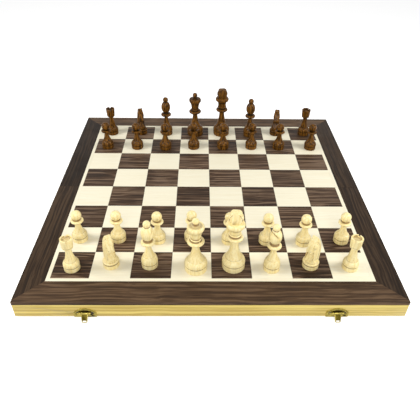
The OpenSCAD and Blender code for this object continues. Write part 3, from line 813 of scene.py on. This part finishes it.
def foot(kind):
    """The disc, the groove and the dome of a foot, up to the fine line at the dome's shoulder."""
    radius, shoulder_z = FEET[kind]
    disc_h, shoulder_r, middle_r = 5.2 + (radius - 8.3) * 0.45, SHOULDER * radius, 0.3 * radius
    dome_z, across, neck = disc_h + 1.5, radius - middle_r, radius - 0.4 - GROOVE
    end = math.acos((shoulder_r - middle_r) / across)
    rise = (shoulder_z - dome_z) / math.sin(end)
    start = math.asin(0.7 / rise)
    dome = arc(middle_r, dome_z, across, rise, -math.degrees(start), math.degrees(end), 14)
    return ([(0, 0.25), (radius - 2.2, 0.25), (radius - 1.8, 0)]
            + arc(radius - 0.85, 0.7, 0.7, 0.7, -90, 0, 6)
            + arc(radius - 0.65, disc_h - 0.5, 0.5, 0.5, 0, 80, 5)
            + [(neck + 0.5, disc_h + 0.05), (neck, disc_h + 0.1), (neck, disc_h + 0.8)] + dome
            + [(shoulder_r - 0.22, shoulder_z + 0.08), (shoulder_r - 0.38, shoulder_z + 0.3)])


def foot_and_stem(kind, top_r, top_z, bend, steps=24):
    """A foot and the hollow sweep from it up to the head; a greater bend is slimmer."""
    radius, shoulder_z = FEET[kind]
    start_r, start_z = SHOULDER * radius - 0.48, shoulder_z + 0.3
    shares = [0.02 + 0.98 * i / steps for i in range(steps + 1)]
    return foot(kind) + [(top_r + (start_r - top_r) * (1 - t) ** bend, start_z + (top_z - start_z) * t)
                         for t in shares]


def collar(radius, height, half):
    """A rounded ring."""
    return arc(radius - half, height, half, half, -90, 90, 14)


def round_top(height, radius, start, steps):
    """A ball that ends a man at his full height."""
    return arc(0, height - radius, radius, radius, start, 90, steps)


def raised(base_z, *points):
    """Points whose heights are counted from a base."""
    return [(r, base_z + z) for r, z in points]


print("foot of a pawn:", len(foot("pawn")), "points")

# %% Outlines of the men's heads
PAWN_H, ROOK_H, BISHOP_H, QUEEN_H, KING_H = 38.5, 40, 58, 65, 70


def pawn():
    collar_z = PAWN_H - 12.4
    return turned(foot_and_stem("pawn", 2.7, collar_z - 2.1, 2.2) + raised(collar_z, (3.8, -1.6))
                  + collar(6.8, collar_z, 1.3)[2:] + raised(collar_z, (4.4, 1.55), (3.5, 1.7))
                  + round_top(PAWN_H, 5.5, -50, 26))


def rook():
    head_z, wall = ROOK_H - 11, 1.8
    cup = turned(foot_and_stem("rook", 3, head_z - 1.5, 1.8) + raised(head_z, (3.4, -1.2))
                 + arc(4.3, head_z, 1.1, 1.1, -90, 20, 8)
                 + raised(head_z, (5.2, 0.7), (5.25, 1.1), (5.6, 1.5), (5.95, 6)) + [(6.25, ROOK_H - 0.5)]
                 + arc(5.9, ROOK_H - 0.35, 0.35, 0.35, 0, 90, 4) + [(6.55 - wall, ROOK_H)]
                 + arc(6.05 - wall, ROOK_H - 0.3, 0.3, 0.3, 60, 0, 3)[1:]
                 + arc(5.55 - wall, ROOK_H - 2, 0.6, 0.6, 0, -90, 5) + [(0, ROOK_H - 2.6)])
    notches = joined([block((-8, -0.9, ROOK_H - 1.8), (8, 0.9, ROOK_H + 2)),
                      block((-0.9, -8, ROOK_H - 1.8), (0.9, 8, ROOK_H + 2))])
    return shaped(cup, [CUT_CROSSING], notches)


def bishop():
    mitre_z = BISHOP_H - 22.5
    collar_z = mitre_z - 4
    whole = turned(foot_and_stem("bishop", 2.5, collar_z - 2.4, 2) + raised(collar_z, (3.9, -2))
                   + collar(7.3, collar_z, 1.8)[2:] + raised(collar_z, (5, 1.95), (4.2, 2.05))
                   + [(3.7, mitre_z)] + arc(0, mitre_z + 7.5, 6.5, 9, -48, 62, 28)
                   + round_top(BISHOP_H, 3.8, -45, 18))
    at = Matrix.Translation((0, 0, mitre_z + 9)) @ Matrix.Rotation(math.radians(-52), 4, "Y")
    return shaped(whole, [CUT], put(block((0.5, -7, -0.45), (9, 7, 0.45)), at))


def queen():
    crown_z = QUEEN_H - 24
    collar_z = crown_z - 4.4
    return turned(foot_and_stem("queen", 3.3, collar_z - 2.4, 2.2) + raised(collar_z, (5.2, -2))
                  + collar(8.7, collar_z, 1.8)[2:] + raised(collar_z, (6.2, 1.9), (5.4, 2.0))
                  + collar(5.7, crown_z - 0.6, 0.7)
                  + raised(crown_z, (4.85, 0.4), (5, 2), (5.5, 4.4), (6.1, 7), (6.9, 9.4))
                  + arc(7.4, crown_z + 13, 1.2, 2.4, -56, 90, 14)
                  + raised(crown_z, (6.5, 15.3), (5, 15.4), (3.6, 16.3), (2.4, 17))
                  + round_top(QUEEN_H, 3.4, -46, 18))


def king():
    crown_z = KING_H - 24
    collar_z = crown_z - 6.8
    body = turned(foot_and_stem("king", 3.5, collar_z - 2.5, 2.2) + raised(collar_z, (5.4, -2.1))
                  + collar(8.3, collar_z, 1.8)[2:] + raised(collar_z, (6.4, 1.95), (5.6, 2.1))
                  + collar(6.3, crown_z - 2, 0.9)
                  + raised(crown_z, (5.5, -0.8), (5.6, 1.5), (5.9, 4), (6.4, 6.2))
                  + arc(7.6, crown_z + 9.4, 1.8, 2.6, -62, 84, 14)
                  + raised(crown_z, (7, 12.15), (0, 12.2)))
    finial = turned(raised(crown_z, (0, 11), (5.6, 11), (5.6, 12.9))
                    + arc(4.6, crown_z + 17.6, 2.8, 4.6, -66, 60, 16)
                    + raised(KING_H, (5.9, -1.8), (5.8, -1.0))
                    + arc(5.1, KING_H - 0.62, 0.6, 0.6, 10, 90, 4) + raised(KING_H, (0, -0.02)))
    for s in SIDES:
        whole = finial.verts[:] + finial.edges[:] + finial.faces[:]
        cut = bmesh.ops.bisect_plane(finial, geom=whole, plane_co=(0, s * 4.5, 0), plane_no=(0, s, 0),
                                     clear_outer=True)
        rim = [e for e in cut["geom_cut"] if isinstance(e, bmesh.types.BMEdge)]
        bmesh.ops.holes_fill(finial, edges=rim, sides=0)
        round_edges(finial, rim, 0.25)
    face_outwards(finial)
    return joined([body, finial])


print("king:", KING_H, "mm, pawn:", PAWN_H, "mm")

# %% [markdown]
# ## Knights
# A knight is the only carved man. Its head is built as a carver thinks of it: a block with the
# horse's outline, cheeks and brow added, then cut with the mane's grooves, the mouth and the nostrils.
# Voxel remeshing fuses the pieces, and a little smoothing rounds the tool marks.

# %% Carve a knight's head
HEAD_OUTLINE = [(-5.3, 9.4), (-6.5, 14), (-7.2, 19), (-7.3, 23.5), (-6.7, 28), (-5.5, 32), (-4, 35.2),
                (-2.2, 37.4), (-1.2, 39.3), (-0.2, 39.9), (0.6, 38.6), (1.6, 36.8), (3, 35.2), (4.6, 32.8),
                (6.2, 29.8), (7.4, 27.2), (8.2, 25), (8, 23.2), (7, 22.1), (5.6, 21.9), (4.4, 22.8),
                (3, 22.9), (1.6, 21.4), (1.2, 19.2), (2.2, 16.6), (3.8, 13.8), (5, 11.2), (5.3, 9.4)]


def ball(at, size, turn=0.0):
    """An egg shape: its middle, its three half sizes and its tilt about Y in degrees."""
    bm = bmesh.new()
    bmesh.ops.create_uvsphere(bm, u_segments=24, v_segments=16, radius=1)
    move = Matrix.Translation(at) @ Matrix.Rotation(math.radians(turn), 4, "Y")
    return put(bm, move @ Matrix.Diagonal((*size, 1)))


def wedge(at, size, turn):
    """A cutting edge: a long square bar, turned about Y so that it cuts with its corner."""
    move = Matrix.Translation(at) @ Matrix.Rotation(math.radians(turn), 4, "Y")
    return put(block([-s / 2 for s in size], [s / 2 for s in size]), move)


def neck_block():
    """The horse's outline as a block whose cheeks are crowned and whose top is narrower."""
    bm = bmesh.new()
    face = bm.faces.new([bm.verts.new((x, -1, z)) for x, z in HEAD_OUTLINE])
    back = bmesh.ops.extrude_face_region(bm, geom=[face])["geom"]
    bmesh.ops.translate(bm, vec=(0, 2, 0), verts=[v for v in back if isinstance(v, bmesh.types.BMVert)])
    for f in [f for f in bm.faces if abs(f.normal.y) > 0.9 or len(f.verts) > 8]:
        for width in (0.7, 0.8, 0.9):
            bmesh.ops.inset_region(bm, faces=[f], thickness=width, depth=0, use_even_offset=True)
    face_outwards(bm)
    return bm


print("head outline:", len(HEAD_OUTLINE), "points")


# %% Join, cut and smooth the head
def half_thickness(x, z):
    """Half the head's thickness: it narrows upwards, and from the cheeks to the muzzle."""
    upwards = 5.3 - 0.07 * (z - 9) if z < 25 else 4.18 - 0.07 * (z - 25)
    muzzle = min(1, max(0, (x - 3.2) / 4)) if z > 20 else 0
    return upwards * (1 - 0.34 * muzzle)


def knight():
    neck = neck_block()
    thick = max(v.co.y for v in neck.verts)
    for v in neck.verts:
        v.co.y *= half_thickness(v.co.x, v.co.z) / thick
    added = [neck]
    between_ears = wedge((-0.2, 0, 40.6), (9, 2.0, 2.0), 0)
    cut = [between_ears]
    for s in SIDES:
        cheek = ball((1.6, s * 2.8, 29.2), (3.4, 2.0, 3.7), 25)
        brow = ball((2.5, s * 3.5, 33.4), (1.9, 0.8, 0.75), 40)
        eye = ball((2.9, s * 3.6, 32.1), (0.8, 0.7, 0.7))
        muzzle = ball((6.6, s * 1.9, 24.6), (1.9, 1.5, 2.0))
        added += [cheek, brow, eye, muzzle]
        nostril = ball((7.5, s * 2.8, 25.2), (0.75, 0.7, 0.55), 40)
        ear_hollow = ball((-0.3, s * 3.7, 38.4), (0.7, 0.9, 1.5), -15)
        cut += [nostril, ear_hollow]
        for i in range(17):
            z = 12.4 + 1.5 * i
            back = -3.4 - 1.5 * math.sin(math.pi * min(1, i / 15)) + 0.012 * max(0, i - 8) ** 3
            cut.append(ball((back, s * (half_thickness(back, z) + 0.3), z), (0.55, 0.8, 0.95)))
    for i in range(8):
        z = 13 + 3.2 * i
        back = -6.9 - 0.9 * math.sin(math.pi * min(1, i / 5)) + 0.075 * max(0, i - 2.6) ** 2.4
        cut.append(wedge((back, 0, z), (1.0, 20, 1.0), 45))
    mouth = wedge((7.4, 0, 23.9), (4.6, 20, 0.6), 24)
    cut.append(mouth)
    for bm in cut[1:]:
        face_outwards(bm)
    fuse = ("REMESH", {"mode": "VOXEL", "voxel_size": 0.3})
    soften = ("SMOOTH", {"factor": 0.5, "iterations": 3})
    head = shaped(joined(added), [fuse, CUT_CROSSING, fuse, soften], joined(cut))
    pedestal = turned(foot("knight") + collar(7, 9.19, 0.7) + [(0, 9.99)])
    return joined([pedestal, head])


KINDS = {"pawn": pawn, "rook": rook, "knight": knight, "bishop": bishop, "queen": queen, "king": king}
patterns = {}
for kind, make in KINDS.items():
    bm = make()
    bmesh.ops.scale(bm, vec=(MM, MM, MM), verts=bm.verts)
    patterns[kind] = mesh_of(kind + "_pattern", bm)
    print(kind, len(patterns[kind].polygons), "faces")

# %% [markdown]
# ## Set up the men
# Nobody sets men exactly in the middle of their squares. Each man's small shift from the middle and its
# turn are listed from the a file to the h file, in millimetres and degrees, as on the model.

# %% Stand every man on its square
FILES = "abcdefgh"
RANK = ("rook", "knight", "bishop", "queen", "king", "bishop", "knight", "rook")
STANDS = {
    ("white", 0): ((1.1, -3.9, 20), (-0.7, 1.2, -60), (-2, 0.9, 35), (4.5, -3.5, 0),
                   (2.2, -0.3, -6), (0.5, -3.6, 205), (0.3, 0.3, -140), (0.3, -2, 55)),
    ("white", 1): ((0.3, 0.5, 0), (1.2, 0.3, 40), (3.7, -1.2, 80), (-0.3, 0.9, 10),
                   (-0.5, -2, 130), (-0.6, -3, 70), (-1.3, -4.7, 25), (0.5, -1.4, 95)),
    ("black", 7): ((-0.6, -2.2, 10), (1.6, -0.5, -75), (-1.2, -1.9, 15), (0.6, -1.7, 0),
                   (-1, -0.2, 8), (0, -4.8, 150), (-0.8, -0.6, -100), (1.2, 0.1, 40)),
    ("black", 6): ((-1.4, -2.6, 15), (0, -3.3, 75), (-0.4, -4.5, 120), (-1, -2.3, 50),
                   (0.1, -2.1, 5), (0, -1.5, 140), (-1.4, -2.2, 90), (3.4, -2.5, 35)),
}
for (side, row), stands in STANDS.items():
    for column, (dx, dy, turn) in enumerate(stands):
        kind = RANK[column] if row in (0, 7) else "pawn"
        royal = kind in ("king", "queen")
        node = f"{side}_{kind}" if royal else f"{side}_{kind}_{FILES[column]}"
        at = Vector(((column - 3.5) * SQUARE + dx, SEAM_Y + (row - 3.5) * SQUARE + dy, FACE_Z)) * MM
        mesh = patterns[kind].copy()
        mesh.transform(Matrix.Translation(at) @ Matrix.Rotation(math.radians(turn), 4, "Z"))
        woods, slot = (boxwood, "light_men") if side == "white" else (brown_wood, "dark_men")
        wood = woods["large" if royal else "small"]
        piece = piece_from_mesh("turned_" + node, mesh, wood, node, 34)
        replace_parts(piece, node)
for pattern in patterns.values():
    bpy.data.meshes.remove(pattern)
print("men standing:", sum(len(s) for s in STANDS.values()))

# %% [markdown]
# ## Table and light
# The photograph was taken on white with a soft light at each side, so men on the left throw their faint
# shadow to the right and the others to the left. The floor stays a plain pale colour that takes shadows.
# A little light of its own, which only the camera and reflections see, lifts it to white.

# %% Lay the floor and light the scene
def seen_directly(tree):
    """1 for what the camera, a reflection or a clear material sees, and 0 for light that bounces."""
    ray = add_node(tree, "LightPath").outputs
    either = math_of(tree, "MAXIMUM", ray["Is Camera Ray"], ray["Is Glossy Ray"])
    return math_of(tree, "MAXIMUM", either, ray["Is Transmission Ray"])


FLOOR_GLOW = 0.62
pale, tree, shader, place = new_material("pale table", Base_Color=(0.8, 0.8, 0.8, 1), Roughness=0.9,
                                         Emission_Color=(1, 1, 1, 1), Specular_IOR_Level=0.0)
glow = math_of(tree, "MULTIPLY", seen_directly(tree), FLOOR_GLOW)
tree.links.new(glow, shader.inputs["Emission Strength"])
bm = bmesh.new()
FLOOR_HALF = 6
bmesh.ops.create_grid(bm, x_segments=2, y_segments=2, size=FLOOR_HALF)
table = new_object("table", mesh_of("table", bm))
table.data.materials.append(pale)

world = bpy.data.worlds.new("studio")
bpy.context.scene.world = world
world.use_nodes = True
tree = world.node_tree
tree.nodes.clear()
dome = add_node(tree, "Background", {"Color": (1, 1, 1, 1), "Strength": 0.34})
backdrop = add_node(tree, "Background", {"Color": (1, 1, 1, 1), "Strength": 1.0})
lights = {0: seen_directly(tree), 1: dome.outputs[0], 2: backdrop.outputs[0]}
either = add_node(tree, "MixShader", lights)
add_node(tree, "OutputWorld", {0: either.outputs[0]})


def soft_lamp(name, at, aim, size, watts):
    """A square soft lamp that faces a point, in metres."""
    lamp = bpy.data.lights.new(name, "AREA")
    lamp.size, lamp.energy = size, watts
    holder = new_object(name, lamp)
    holder.location = at
    holder.rotation_euler = (Vector(aim) - Vector(at)).to_track_quat("-Z", "Y").to_euler()
    return holder


for side, name in ((-1, "left lamp"), (1, "right lamp")):
    soft_lamp(name, (side * 0.62, -0.1, 0.48), (side * 0.02, 0, 0.02), 0.3, 3.2)
soft_lamp("front lamp", (0, -1.1, 0.7), (0, -0.1, 0.0), 0.6, 7)

# %% [markdown]
# ## Finish
# The scene is brought up to date at the end.

# %% Finish
bpy.context.view_layer.update()
